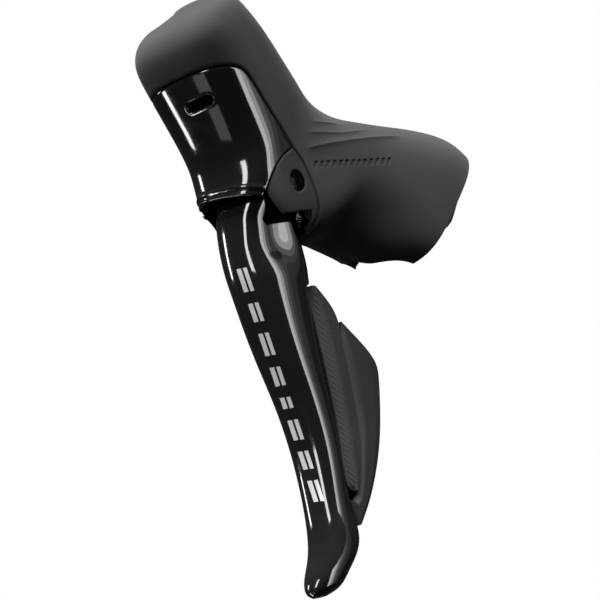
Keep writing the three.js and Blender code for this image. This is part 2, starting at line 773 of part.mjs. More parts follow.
function switchHousing() {
  let housing = prism(HOUSING.core, HOUSING.inner, HOUSING.outer).add(
    prism(HOUSING.backing, HOUSING.wing, HOUSING.outer),
  );
  for (const { x, y, lugs } of Object.values(PADDLE_PINS)) {
    for (const z of lugs) housing = housing.add(box([x, y - 0.7, z], [3, 2.2, 2.2]));
    housing = housing.subtract(upright(x, y, -28, -98, PIN_RADIUS + 0.2, 12));
  }
  housing = housing.subtract(box([55, 6.4, -52], [3.4, 1.6, 5]));
  return flared(housing.subtract(box([46.2, 6.4, -59], [3, 1.6, 5])));
}

// A paddle is a plate with two knuckles on its pin
function paddle(outline, pin) {
  let plate = prism(outline, PADDLE.inner, PADDLE.outer);
  for (const z of pin.knuckles) {
    plate = plate
      .add(upright(pin.x, pin.y, z + 1.5, z - 1.5, 1.15, 20))
      .add(box([pin.x, pin.y + 0.5, z], [2.3, 1, 3]));
  }
  return flared(plate.subtract(upright(pin.x, pin.y, -28, -98, PIN_RADIUS + 0.1, 12)));
}

add("switch_housing", switchHousing(), "plastic");
add("shift_paddle_front", paddle(FRONT_PADDLE, PADDLE_PINS.front), "satin");
add("shift_paddle_rear", paddle(REAR_PADDLE, PADDLE_PINS.rear), "satin");
for (const [name, { x, y, top, bottom }] of Object.entries(PADDLE_PINS)) {
  add("paddle_pin_" + name, flared(upright(x, y, top, bottom, PIN_RADIUS, 12)), "steel");
}
for (const [name, x, z] of [
  ["front_switch", 55, -52],
  ["rear_switch", 46.2, -59],
]) {
  const dome = rod(V(x, 6.8, z), V(x, 7.5, z), 1, 12);
  add(name, flared(box([x, 6.4, z], [2.6, 0.9, 4.2]).add(dome)), "plastic");
}
for (const [name, x, z] of [
  ["front_paddle_spring", 56, -64],
  ["rear_paddle_spring", 48.6, -56],
]) {
  const spring = coil(V(x, 6.4, z), V(x, 7.6, z), 1.1, 0.15, 3);
  add(name, flared(solid(spring)), "steel");
}

const SWITCH_WIRE = [
  V(57.5, -0.5, -29.4),
  V(58.4, -2.6, -24),
  V(58.2, -4.5, -15),
  V(58.4, -4.6, -7),
  V(58.8, -5.6, -1.2),
  V(56.5, -7, 1.75),
  V(53.4, -8.2, 3.3),
];
add("switch_wire", sweep(SWITCH_WIRE, 0.5, 8, 28), "wire");

export default group;
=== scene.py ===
"""Looks of a left-hand drop-bar brake and shift lever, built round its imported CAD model."""

import json
import math

import bmesh
import bpy
import numpy as np
from mathutils import Matrix, Vector


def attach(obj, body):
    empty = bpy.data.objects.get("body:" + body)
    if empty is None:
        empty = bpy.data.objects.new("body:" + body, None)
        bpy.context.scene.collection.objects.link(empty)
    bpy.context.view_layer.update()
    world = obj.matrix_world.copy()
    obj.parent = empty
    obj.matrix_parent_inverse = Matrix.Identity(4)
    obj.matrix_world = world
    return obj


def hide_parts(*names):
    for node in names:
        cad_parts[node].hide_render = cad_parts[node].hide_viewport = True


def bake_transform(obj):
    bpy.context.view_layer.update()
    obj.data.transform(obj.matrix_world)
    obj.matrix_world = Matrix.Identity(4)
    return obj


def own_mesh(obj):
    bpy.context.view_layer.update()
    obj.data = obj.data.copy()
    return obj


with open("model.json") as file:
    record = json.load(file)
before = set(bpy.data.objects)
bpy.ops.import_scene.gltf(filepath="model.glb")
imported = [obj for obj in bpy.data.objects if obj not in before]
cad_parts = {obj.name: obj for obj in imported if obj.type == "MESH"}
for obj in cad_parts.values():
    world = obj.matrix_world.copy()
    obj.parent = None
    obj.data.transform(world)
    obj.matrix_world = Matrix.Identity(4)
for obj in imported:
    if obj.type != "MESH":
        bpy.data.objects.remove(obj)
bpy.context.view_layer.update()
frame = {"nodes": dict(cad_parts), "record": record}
MM = 0.001

# ------------------------------------------------------------------ design tables, in millimetres
# As in the CAD, but the hood's first three rows are squarer at their outer lower corners.
# top x, top z, bottom x, bottom z, half width, squareness: upper, outer lower, inner lower
ENVELOPE = [
    [-15.0, 15.8, 19.2, -22.4, 20.0, 2.5, 4.6, 1.5],
    [-7.6, 19.2, 24.6, -20.6, 19.6, 2.6, 3.8, 1.5],
    [5.0, 20.4, 30.5, -18.4, 18.7, 2.6, 2.7, 1.5],
    [18.0, 20.2, 38.0, -16.0, 17.6, 2.6, 2.2, 1.6],
    [29.0, 20.0, 47.0, -14.6, 16.8, 2.7, 2.5, 2.2],
    [38.0, 20.6, 60.5, -17.8, 16.2, 2.8, 3.8, 3.6],
    [45.5, 23.4, 74.6, -9.0, 15.2, 2.9, 3.2, 3.2],
    [51.3, 28.0, 76.3, 2.5, 15.8, 2.9, 3.0, 3.0],
    [57.2, 33.8, 80.8, 15.0, 16.6, 2.9, 3.0, 3.0],
    [63.0, 39.6, 86.4, 26.5, 17.2, 2.9, 3.0, 3.0],
    [67.6, 44.2, 89.0, 33.5, 17.0, 2.8, 2.9, 2.9],
    [70.6, 47.6, 87.6, 39.2, 15.6, 2.6, 2.7, 2.7],
    [73.4, 49.0, 83.6, 43.4, 12.3, 2.4, 2.4, 2.4],
    [76.0, 48.8, 80.0, 46.6, 5.0, 2.0, 2.0, 2.0],
]
# front x, back x, inner y, outer y, z, squareness
BLADE = [
    [70.5, 60.5, -9.4, 8.8, 3.0, 2.4],
    [73.2, 58.4, -10.6, 9.8, -8.0, 2.8],
    [74.4, 56.2, -10.6, 10.0, -20.0, 2.6],
    [73.6, 55.4, -9.4, 9.6, -30.0, 2.6],
    [71.0, 56.6, -7.2, 9.5, -45.0, 2.8],
    [68.4, 57.0, -4.6, 10.2, -60.0, 2.7],
    [67.4, 57.4, -2.4, 11.2, -75.0, 2.7],
    [68.6, 59.0, -0.4, 12.2, -89.0, 2.8],
    [72.6, 61.4, 1.6, 14.8, -99.5, 2.6],
    [78.0, 66.6, 3.6, 15.0, -106.5, 2.3],
    [79.5, 70.5, 4.9, 13.7, -110.7, 2.1],
    [78.8, 74.6, 7.4, 11.2, -112.6, 2.0],
]
BLADE_SLANT = 0.1
SCOOP = {"share": 0.3, "top": (-12.0, -5.0), "bottom": (-29.0, -17.0), "back": (61.0, 69.0)}
BOSS = {"x": 57.8, "z": -22.5, "radius": 5.0, "height": 0.9}
DENT = {"x": 61.0, "z": -22.5, "spread": 14.0, "depth": 0.4}
PARTING = [
    [98.0, 28.0], [88.0, 26.6], [83.0, 25.9], [80.4, 25.4], [78.7, 24.7], [77.0, 23.2],
    [74.6, 20.1], [72.0, 16.4], [67.4, 10.6], [62.8, 4.9], [60.6, 1.8], [58.9, -2.7],
    [57.7, -7.5], [57.3, -11.5], [58.6, -16.0], [61.5, -22.0],
]
PLATE_FRONT = [[62.6, 6.0], [63.6, 5.2], [67.0, 3.0], [69.4, 0.6], [71.2, -2.4], [72.2, -5.2]]
OUTER_PLATE_FOOT = [[72.8, -8.2], [69.9, -12.7], [59.9, -11.6], [59.6, -21.0]]
INNER_PLATE_FOOT = [[71.4, -5.2], [67.3, -7.4], [62.4, -13.4], [60.9, -21.0]]
MOUTH_LINE = {"x": 76.0, "z": -5.2, "slope": 0.375, "shear": -0.15}
SLOT = {"y": 2.8, "z": 19.2, "half": 3.2, "radius": 1.2}
BAY_FRONT = [[61.2, -20.0], [60.6, -29.0], [60.3, -60.0], [61.4, -78.0], [62.4, -98.0]]
PIVOT = (63.8, -3.8)
BAR_TILT = math.radians(35)
BAR_RADIUS = 12.1
BAR_SETBACK = -0.5
TOP_BUTTON = Vector((75.6, -8.2, 44.6))
BUTTON_AXIS = Vector((0.5, -0.42, 0.76)).normalized()
FLARE_SLOPE, FLARE_FROM = -0.062, -30.0
FRONT_PADDLE = {
    "left": [[60.6, -30.6], [60.2, -41.4], [60.1, -60.0], [61.1, -74.0], [61.9, -83.3], [60.7, -86.0]],
    "right": [[58.7, -30.6], [53.4, -37.6], [53.1, -47.0], [53.7, -62.0], [55.4, -73.5], [60.3, -86.2]],
}
REAR_PADDLE = {
    "left": [[52.3, -40.2], [52.5, -46.5], [53.2, -62.0], [54.8, -73.6], [59.9, -87.0], [62.0, -88.5]],
    "right": [[51.2, -39.9], [41.9, -48.8], [41.6, -57.0], [46.6, -72.0], [54.5, -86.2], [61.7, -95.2]],
}
PADDLE_BACK = 8.2
SKIN_ROWS, SKIN_AROUND = 300, 240
SAG = {"x": 30, "spread": 5.5, "depth": 2.3}
PLATE_INNER_FACE = 11.4
COVER_WALL = 1.5
BUTTON_HOLE_RADIUS = 4.4
FAR = 50.0


# ------------------------------------------------------------------ surface helpers, in millimetres
def smooth_rows(keys, count):
    """Rows on a natural cubic spline through key rows."""
    keys = np.array(keys, float)
    n = len(keys)
    system = np.eye(n)
    right = np.zeros_like(keys)
    for i in range(1, n - 1):
        system[i, i - 1 : i + 2] = 1, 4, 1
        right[i] = 6 * (keys[i - 1] - 2 * keys[i] + keys[i + 1])
    bend = np.linalg.solve(system, right)
    t = np.linspace(0, n - 1, count)
    i = np.minimum(t.astype(int), n - 2)
    f = (t - i)[:, None]
    g = 1 - f
    return g * keys[i] + f * keys[i + 1] + ((g**3 - g) * bend[i] + (f**3 - f) * bend[i + 1]) / 6


def smoothstep(value, low, high):
    t = np.clip((value - low) / (high - low), 0, 1)
    return t * t * (3 - 2 * t)


def unit_ring(angle, upper, outer, inner):
    """Points of a superellipse whose lower quarters have their own squareness."""
    c, s = np.cos(angle), np.sin(angle)
    power = np.where(s > 0, upper, np.where(c > 0, outer, inner))
    radius = (np.abs(c) ** power + np.abs(s) ** power) ** (-1 / power)
    return c * radius, s * radius


def envelope_points(rows, around):
    """The outside of the hood and cover, sagging a little under its outer flank."""
    angle = np.linspace(0, 2 * math.pi, around, endpoint=False)[None, :]
    tx, tz, bx, bz, width, upper, outer, inner = smooth_rows(ENVELOPE, rows).T[:, :, None]
    c, s = unit_ring(angle, upper, outer, inner)
    points = np.stack(
        [(tx + bx) / 2 + s * (tx - bx) / 2, width * c, (tz + bz) / 2 + s * (tz - bz) / 2], -1
    )
    x, y, z = points[..., 0], points[..., 1], points[..., 2]
    sag = np.exp(-(((x - SAG["x"]) / SAG["spread"]) ** 2))
    points[..., 2] -= SAG["depth"] * (sag * smoothstep(y, 0.0, 7.0) * smoothstep(-z, 8.0, 16.0))
    return np.concatenate([points, dome(points[-2], points[-1], 0.8)])


def dome(before, ring, height, steps=7):
    """Rings that close a loft over its last ring."""
    middle = ring.mean(0)
    out = middle - before.mean(0)
    out /= np.linalg.norm(out)
    turns = np.linspace(0, math.pi / 2, steps + 1)[1:]
    return np.array([middle + (ring - middle) * math.cos(a) + out * height * math.sin(a) for a in turns])


def blade_points(rows, around):
    """The outside of the blade, scooped on its outer flank and swollen at the boss."""
    angle = np.linspace(0, 2 * math.pi, around, endpoint=False)[None, :]
    front, back, inner, outer, z, power = smooth_rows(BLADE, rows).T[:, :, None]
    c, s = unit_ring(angle, power, power, power)
    x = (front + back) / 2 + c * (front - back) / 2
    y = (inner + outer) / 2 + s * (outer - inner) / 2
    height = z - BLADE_SLANT * (x - (front + back) / 2)
    scoop = (1 - smoothstep(height, *SCOOP["top"])) * smoothstep(height, *SCOOP["bottom"])
    scoop = 1 - SCOOP["share"] * scoop * smoothstep(x, *SCOOP["back"])
    swell = BOSS["height"] * np.exp(
        -((x - BOSS["x"]) ** 2 + (height - BOSS["z"]) ** 2) / BOSS["radius"] ** 2
    )
    y = np.where(y > 0, y * scoop + swell * y / outer, y)
    return np.stack([x, y, height], -1)


def skin(points):
    """A bmesh of quads over a grid of points that closes on itself around."""
    rows, around = points.shape[:2]
    index = np.arange(rows * around).reshape(rows, around)
    ahead = np.roll(index, -1, axis=1)
    quads = np.stack([index[:-1], ahead[:-1], ahead[1:], index[1:]], -1).reshape(-1, 4)
    mesh = bpy.data.meshes.new("skin")
    mesh.from_pydata(points.reshape(-1, 3).tolist(), [], quads.tolist())
    bm = bmesh.new()
    bm.from_mesh(mesh)
    bpy.data.meshes.remove(mesh)
    bmesh.ops.remove_doubles(bm, verts=bm.verts, dist=1e-4)
    bmesh.ops.recalc_face_normals(bm, faces=bm.faces)
    return bm


def coordinates(bm):
    bm.verts.index_update()
    return np.array([v.co for v in bm.verts])


SNAP = 0.01


def cut_line(bm, field, level):
    """Adds edges along the line where field equals level."""
    value = field(coordinates(bm)) - level
    on = {v for v, d in zip(bm.verts, value) if abs(d) < SNAP}
    touched = set()
    for edge in list(bm.edges):
        a, b = edge.verts
        da, db = value[a.index], value[b.index]
        if da * db < 0 and a not in on and b not in on:
            touched.add((edge, a, da / (da - db)))
    for edge, a, share in sorted(touched, key=lambda t: t[0].index):
        _, new = bmesh.utils.edge_split(edge, a, share)
        on.add(new)
    faces = {f for v in on for f in v.link_faces}
    for face in faces:
        marked = [v for v in face.verts if v in on]
        if len(marked) == 2:
            a, b = marked
            if not any(e.other_vert(a) is b for e in a.link_edges if e in face.edges):
                bmesh.utils.face_split(face, a, b)


def trim(bm, field, radius, lines=(0.0, 0.12, 0.4, 1.0)):
    """Keeps the side where field is positive, with lines along the edge for rounding it."""
    for share in lines:
        cut_line(bm, field, share * radius)
    middles = np.array([f.calc_center_median() for f in bm.faces])
    gone = [f for f, d in zip(list(bm.faces), field(middles)) if d < 0]
    bmesh.ops.delete(bm, geom=gone, context="FACES")


def push(bm, depth):
    """Moves each vertex along its normal by depth(points)."""
    bm.normal_update()
    for v, d in zip(list(bm.verts), depth(coordinates(bm))):
        if d:
            v.co += v.normal * float(d)


def rounded(fields):
    """The depth that rounds the edges of several (field, radius) pairs."""

    def depth(p):
        total = np.zeros(len(p))
        for field, radius in fields:
            near = np.clip(radius - field(p), 0, radius)
            total = np.minimum(total, -(radius - np.sqrt(radius**2 - near**2)))
        return total

    return depth


def thicken(bm, wall):
    """Gives a skin an inner face and a rim. wall is a depth, or depths from points."""
    bm.normal_update()
    outer = list(bm.verts)
    rim = [e for e in bm.edges if e.is_boundary]
    faces = list(bm.faces)
    depths = wall(coordinates(bm)) if callable(wall) else [wall] * len(outer)
    twin = {v: bm.verts.new(v.co - v.normal * float(d)) for v, d in zip(outer, depths)}
    for f in faces:
        bm.faces.new([twin[v] for v in reversed(f.verts)])
    for e in rim:
        loop = e.link_loops[0]
        a, b = loop.vert, loop.link_loop_next.vert
        bm.faces.new([b, a, twin[a], twin[b]])


def line_field(path, flip=1.0):
    """Signed distance in side view from a path of (x, z) points, positive to its left."""
    path = np.array(path, float)
    start, step = path[:-1], np.diff(path, axis=0)
    length = (step**2).sum(1)

    def field(p):
        offset = p[:, None, [0, 2]] - start[None]
        t = (offset * step).sum(2) / length
        low = np.where(np.arange(len(start)) == 0, -1e6, 0.0)
        high = np.where(np.arange(len(start)) == len(start) - 1, 1e6, 1.0)
        t = np.clip(t, low, high)
        gap = offset - t[..., None] * step
        distance = np.sqrt((gap**2).sum(2))
        nearest = distance.argmin(1)
        rows = np.arange(len(p))
        side = step[nearest, 0] * offset[rows, nearest, 1] - step[nearest, 1] * offset[rows, nearest, 0]
        return flip * np.sign(side) * distance[rows, nearest]

    return field


def curve_path(points, per_span=5):
    return smooth_rows(points, (len(points) - 1) * per_span + 1)


def axis_field(point, axis, radius):
    """Distance outside a cylinder."""
    point, axis = np.array(point, float), np.array(axis, float)

    def field(p):
        d = p - point
        return np.linalg.norm(d - (d @ axis)[:, None] * axis, axis=1) - radius

    return field


def minus(field, amount, flip=1.0):
    return lambda p: flip * field(p) - amount


# ------------------------------------------------------------------ materials
def material(name):
    made = bpy.data.materials.new(name)
    made.use_nodes = True
    nodes, links = made.node_tree.nodes, made.node_tree.links
    shader = next(n for n in nodes if n.type == "BSDF_PRINCIPLED")
    coords = nodes.new("ShaderNodeTexCoord")
    return made, nodes, links, shader, coords.outputs["Object"]


def noise(nodes, links, where, scale, detail=4.0, rough=0.5):
    n = nodes.new("ShaderNodeTexNoise")
    n.inputs["Scale"].default_value = scale
    n.inputs["Detail"].default_value = detail
    n.inputs["Roughness"].default_value = rough
    links.new(where, n.inputs["Vector"])
    return n.outputs["Fac"]


def ramp(nodes, links, value, stops):
    r = nodes.new("ShaderNodeValToRGB")
    while len(r.color_ramp.elements) < len(stops):
        r.color_ramp.elements.new(0.5)
    for element, (at, colour) in zip(r.color_ramp.elements, stops):
        element.position = at
        element.color = (*colour, 1) if isinstance(colour, tuple) else (colour, colour, colour, 1)
    links.new(value, r.inputs["Fac"])
    return r.outputs["Color"]


def bump(nodes, links, shader, height, strength, distance):
    b = nodes.new("ShaderNodeBump")
    b.inputs["Strength"].default_value = strength
    b.inputs["Distance"].default_value = distance
    links.new(height, b.inputs["Height"])
    links.new(b.outputs["Normal"], shader.inputs["Normal"])


def mixed_height(nodes, links, a, b, share):
    m = nodes.new("ShaderNodeMix")
    m.data_type = "FLOAT"
    m.inputs["Factor"].default_value = share
    links.new(a, m.inputs["A"])
    links.new(b, m.inputs["B"])
    return m.outputs["Result"]


def surface(name, dark, light, rough, metallic=0.0, coat=0.0, grain=900.0, depth=0.00004,
            patch=45.0, strength=0.35, sheen=0.0, specular=0.5):
    """A painted, moulded or machined surface: tone variation, uneven roughness and a fine grain."""
    made, nodes, links, shader, where = material(name)
    cloudy = noise(nodes, links, where, patch, 5.0)
    fine = noise(nodes, links, where, grain, 3.0, 0.6)
    links.new(ramp(nodes, links, cloudy, [(0.3, dark), (0.7, light)]), shader.inputs["Base Color"])
    links.new(
        ramp(nodes, links, fine, [(0.3, max(rough - 0.05, 0.02)), (0.7, rough + 0.05)]),
        shader.inputs["Roughness"],
    )
    shader.inputs["Metallic"].default_value = metallic
    shader.inputs["Coat Weight"].default_value = coat
    shader.inputs["Coat Roughness"].default_value = 0.07
    shader.inputs["Sheen Weight"].default_value = sheen
    shader.inputs["Specular IOR Level"].default_value = specular
    bump(nodes, links, shader, mixed_height(nodes, links, fine, cloudy, 0.15), strength, depth)
    return made


LOOKS = {
    "rubber": surface("hood_rubber", (0.017, 0.017, 0.018), (0.022, 0.022, 0.023), 0.7, specular=0.14,
                      grain=2600.0, depth=0.00006, strength=0.5, sheen=0.05),
    "gloss": surface("gloss_lacquer", (0.0035, 0.0035, 0.004), (0.006, 0.006, 0.0065), 0.1, coat=1.0,
                     grain=300.0, depth=0.000003, strength=0.04),
    "satin": surface("satin_resin", (0.016, 0.016, 0.017), (0.021, 0.021, 0.022), 0.5, specular=0.2,
                     grain=3200.0, depth=0.00003, strength=0.35),
    "plastic": surface("moulded_resin", (0.012, 0.012, 0.014), (0.02, 0.02, 0.022), 0.5, grain=1800.0),
    "steel": surface("machined_steel", (0.42, 0.43, 0.45), (0.55, 0.56, 0.58), 0.28, metallic=1.0,
                     grain=1400.0, depth=0.00002),
    "alloy": surface("anodised_alloy", (0.3, 0.31, 0.32), (0.38, 0.39, 0.4), 0.38, metallic=1.0),
    "brass": surface("turned_brass", (0.55, 0.42, 0.18), (0.68, 0.53, 0.26), 0.3, metallic=1.0),
    "seal": surface("seal_rubber", (0.012, 0.012, 0.012), (0.02, 0.02, 0.02), 0.55, grain=2000.0),
    "board": surface("coated_board", (0.01, 0.09, 0.05), (0.02, 0.13, 0.08), 0.35, patch=400.0),
    "wire": surface("wire_jacket", (0.012, 0.012, 0.014), (0.02, 0.02, 0.022), 0.45, grain=1500.0),
}
SILVER = surface("silver_print", (0.55, 0.56, 0.58), (0.66, 0.67, 0.69), 0.32, metallic=0.6, grain=1500.0,
                 depth=0.00001, strength=0.2)


# ------------------------------------------------------------------ pieces
def finish_piece(bm, name, look, body, replaces=(), sharp=32.0):
    """Turns a bmesh in millimetres into a piece of the model."""
    bmesh.ops.scale(bm, vec=(MM, MM, MM), verts=bm.verts)
    bmesh.ops.recalc_face_normals(bm, faces=bm.faces)
    limit = math.radians(sharp)
    for f in bm.faces:
        f.smooth = True
    for e in bm.edges:
        e.smooth = not (len(e.link_faces) == 2 and e.calc_face_angle(0.0) > limit)
    mesh = bpy.data.meshes.new(name)
    bm.to_mesh(mesh)
    bm.free()
    piece = bpy.data.objects.new(name, mesh)
    bpy.context.collection.objects.link(piece)
    mesh.materials.append(look)
    if body:
        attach(piece, body)
    if replaces:
        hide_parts(*replaces)
    return piece


parting = line_field(curve_path(PARTING), -1.0)
forward = Vector((math.cos(BAR_TILT), 0, math.sin(BAR_TILT)))
along_bar = Vector((-math.sin(BAR_TILT), 0, math.cos(BAR_TILT)))
bar_centre = forward * -BAR_SETBACK
outside_bar = axis_field(bar_centre, along_bar, BAR_RADIUS + 0.2)
outside_button = axis_field(TOP_BUTTON, BUTTON_AXIS, BUTTON_HOLE_RADIUS)


def only_top(field, z):
    """The field above a height and far away below it."""
    return lambda p: np.where(p[:, 2] > z, field(p), FAR)


# creases on the outer flank as (x, z) paths, with their width and height
FLANK_CREASES = [
    ([[54.9, 13.7], [46.0, 14.6], [36.3, 15.1]], 0.45, 0.3),
    ([[57.4, 10.1], [49.0, 11.2], [41.8, 12.0], [27.9, 14.9]], 0.5, 0.34),
    ([[59.7, 5.3], [52.0, 7.2], [44.5, 8.9], [31.1, 11.5], [14.4, 14.2]], 0.9, 0.5),
]
GRIP_MARKS = {"start": (57.2, 1.1), "end": (25.9, 5.1), "count": 13, "height": 1.9}


def crease(path, width, height):
    line = line_field(curve_path(path))
    xs = [x for x, _ in path]

    def lift(p):
        fade = smoothstep(p[:, 0], min(xs), min(xs) + 9) * (1 - smoothstep(p[:, 0], max(xs) - 4, max(xs)))
        return height * fade * np.exp(-np.abs(line(p)) / width)

    return lift


def grip_marks(p):
    """Depths of a row of short slanted grooves along the flank."""
    (x0, z0), (x1, z1) = GRIP_MARKS["start"], GRIP_MARKS["end"]
    length = math.hypot(x1 - x0, z1 - z0)
    ax, az = (x1 - x0) / length, (z1 - z0) / length
    along = (p[:, 0] - x0) * ax + (p[:, 2] - z0) * az
    across = (p[:, 2] - z0) * ax - (p[:, 0] - x0) * az
    pitch = length / GRIP_MARKS["count"]
    phase = (along + 0.7 * across) / pitch % 1.0
    bar = smoothstep(phase, 0.12, 0.2) * (1 - smoothstep(phase, 0.66, 0.74))
    inside = 1 - smoothstep(np.abs(across), GRIP_MARKS["height"] / 2 - 0.15, GRIP_MARKS["height"] / 2)
    inside *= smoothstep(along, 0, 0.3) * (1 - smoothstep(along, length - 0.3, length))
    return -0.3 * bar * inside


def horn_fold(p):
    """A soft curved fold over the top of the horn."""
    turn = np.hypot(p[:, 0] - 86.0, (p[:, 2] - 38.0) * 0.7) - 11.5
    where = smoothstep(p[:, 2], 38.0, 43.0) * smoothstep(p[:, 1], -9.0, -3.0)
    where = where * (1 - smoothstep(p[:, 1], 6, 11))
    return 0.3 * where * np.exp(-((turn / 1.1) ** 2))


def build_hood():
    bm = skin(envelope_points(SKIN_ROWS, SKIN_AROUND))
    hole = only_top(outside_button, 35.0)
    edges = [(parting, 0.8), (outside_bar, 0.6), (hole, 0.5)]
    for field, radius in edges:
        trim(bm, field, radius)
    near = [f for f in bm.faces if patch(f.calc_center_median())]
    bmesh.ops.subdivide_edges(bm, edges=list({e for f in near for e in f.edges}), cuts=2, use_grid_fill=True)
    bmesh.ops.triangulate(bm, faces=[f for f in bm.faces if len(f.verts) > 4])
    soften = rounded(edges)
    lifts = [crease(*c) for c in FLANK_CREASES]

    def shape(p):
        outer = smoothstep(p[:, 1], 4.0, 9.0)
        return soften(p) + outer * (sum(lift(p) for lift in lifts) + grip_marks(p)) + horn_fold(p)

    push(bm, shape)
    thicken(bm, lambda p: 2.1 - 1.7 * smoothstep(p[:, 2], 38.0, 45.0))
    return finish_piece(bm, "hood", LOOKS["rubber"], "bracket", ["hood_cover"], 40.0)


def patch(centre):
    """True on the outer flank, where the fine relief lies."""
    x, y, z = centre
    return y > 9.0 and 13.0 < x < 61.0 and -2.0 < z < 17.0


def above_mouth(p):
    """Height over the lower edge of the front cover."""
    m = MOUTH_LINE
    line = m["z"] + m["slope"] * (p[:, 0] - m["x"]) + m["shear"] * p[:, 1]
    return (p[:, 2] - line) / math.hypot(1, m["slope"])


def outside_slot(p):
    along = np.maximum(np.abs(p[:, 1] - SLOT["y"]) - SLOT["half"], 0)
    away = np.hypot(along, p[:, 2] - SLOT["z"]) - SLOT["radius"]
    return np.where(p[:, 0] > 70, away, FAR)


GAP = 0.3
plate_line = line_field(curve_path(PLATE_FRONT))


def build_front_cover():
    bm = skin(envelope_points(SKIN_ROWS, SKIN_AROUND))
    edges = [
        (minus(parting, GAP, -1.0), 0.3),
        (minus(plate_line, GAP), 0.3),
        (above_mouth, 0.35),
        (outside_slot, 0.25),
    ]
    for field, radius in edges:
        trim(bm, field, radius)
    for height in (0.25, 0.55, 0.8, 1.05, 1.3, 1.55, 1.8, 2.05, 2.3, 2.6, 3.0):
        cut_line(bm, above_mouth, height)
    for gap in (0.35, 0.6, 0.9):
        cut_line(bm, outside_slot, gap)
    soften = rounded(edges)

    def shape(p):
        lip = above_mouth(p)
        roll = 0.36 * np.exp(-(((lip - 0.5) / 0.42) ** 2)) + 0.4 * np.exp(-(((lip - 2.1) / 0.55) ** 2))
        rim = 0.16 * np.exp(-(((outside_slot(p) - 0.35) / 0.25) ** 2))
        return soften(p) + roll + rim

    push(bm, shape)
    thicken(bm, COVER_WALL)
    return finish_piece(bm, "front_shell", LOOKS["gloss"], "bracket", ["front_cover"])


def build_side_plate(side, foot, name, node):
    bm = skin(envelope_points(SKIN_ROWS, SKIN_AROUND))
    outline = line_field(curve_path(PLATE_FRONT)[5:].tolist() + foot, -1.0)

    def on_side(p):
        return side * p[:, 1] - PLATE_INNER_FACE

    def eye(p):
        return np.hypot((p[:, 0] - PIVOT[0]) * 1.2, p[:, 2] - PIVOT[1]) - 2.9

    trim(bm, on_side, 0.05, (0.0,))
    edges = [(outline, 0.45), (minus(parting, GAP, -1.0), 0.35)]
    if side > 0:
        edges.append((eye, 0.35))
    for field, radius in edges:
        trim(bm, field, radius)
    push(bm, rounded(edges))
    thicken(bm, COVER_WALL)
    for v in bm.verts:
        v.co.y = side * max(side * v.co.y, PLATE_INNER_FACE)
    return finish_piece(bm, name, LOOKS["satin"], "bracket", [node])


def bay_front_x(z):
    line = np.array(BAY_FRONT)[::-1]
    return np.interp(z, line[:, 1], line[:, 0])


BAY_TOP, BAY_BOTTOM = -29.0, -97.0


def build_blade():
    points = blade_points(300, 150)
    top = dome(points[1], points[0], 0.6)[::-1]
    tip = dome(points[-2], points[-1], 0.35, 10)
    bm = skin(np.concatenate([top, points, tip]))

    def height(p):
        return p[:, 2]

    def behind_bay(p):
        return p[:, 0] - bay_front_x(p[:, 2])

    for level in (BAY_TOP, BAY_TOP - 0.1, BAY_BOTTOM, BAY_BOTTOM + 0.6):
        cut_line(bm, height, level)
    for level in (0.0, 0.4):
        cut_line(bm, behind_bay, level)
    for v in bm.verts:
        if BAY_BOTTOM < v.co.z < BAY_TOP - 0.05:
            v.co.x = max(v.co.x, float(bay_front_x(v.co.z)))

    def dent(p):
        away = (p[:, 0] - DENT["x"]) ** 2 + (p[:, 2] - DENT["z"]) ** 2
        return -DENT["depth"] * np.exp(-away / DENT["spread"]) * smoothstep(p[:, 1], 3.0, 6.0)

    push(bm, dent)
    return finish_piece(bm, "blade", LOOKS["gloss"], "lever", ["brake_lever"], 38.0)


def paddle_skin(edges, rows, across, margin, top):
    """A plate between two edge curves, with a column of width margin along each edge."""
    left, right = smooth_rows(edges["left"], rows), smooth_rows(edges["right"], rows)
    width = np.linalg.norm(right - left, axis=1)
    rings = []
    for a, b, w in zip(left, right, width):
        m = min(margin / max(w, 1e-3), 0.3)
        share = np.concatenate([[0], np.linspace(m, 1 - m, across), [1]])
        face = [(*(a + (b - a) * q), q) for q in share]
        ring = [(x, top(x, z, q, w), z) for x, z, q in face]
        ring += [(x, PADDLE_BACK, z) for x, z, q in reversed(face)]
        rings.append(ring)
    points = np.array(rings)
    points[..., 1] += FLARE_SLOPE * (points[..., 2] - FLARE_FROM)
    return points


def close_ends(bm):
    for f in bmesh.ops.holes_fill(bm, edges=[e for e in bm.edges if e.is_boundary], sides=0)["faces"]:
        f.smooth = False


def bevelled(piece, width, segments=3, limit=40.0):
    made = piece.modifiers.new("rounded", "BEVEL")
    made.width = width * MM
    made.segments = segments
    made.limit_method = "ANGLE"
    made.angle_limit = math.radians(limit)
    made.harden_normals = False
    made.use_clamp_overlap = True
    return piece


RIB_LEAN, RIB_PITCH, RIB_HEIGHT = 0.68, 0.95, 0.15


def ribbed(x, z, q, w):
    rise = 1 - (1 - min(q / 0.55, 1.0)) ** 2
    inset = min(q * w - 0.7, (1 - q) * w - 0.6, z + 85.4, -31.4 - z)
    mask = min(max(inset / 0.2, 0.0), 1.0)
    across = (x - RIB_LEAN * z) / math.hypot(1, RIB_LEAN) / RIB_PITCH
    wave = abs((across % 1.0) * 2 - 1)
    return PADDLE_BACK + 0.5 + 1.7 * rise + mask * (wave - 0.5) * RIB_HEIGHT


def crowned(x, z, q, w):
    rise = 1 - (1 - min(q / 0.3, 1.0)) ** 2
    return PADDLE_BACK + 1.2 + 1.0 * rise - 0.35 * max(q - 0.75, 0.0) / 0.25


def build_paddle(name, node, body, edges, rows, across, top):
    bm = skin(paddle_skin(edges, rows, across, 0.6, top))
    close_ends(bm)
    piece = finish_piece(bm, name, LOOKS["satin"], body, [node], 32.0)
    return bevelled(piece, 0.3)


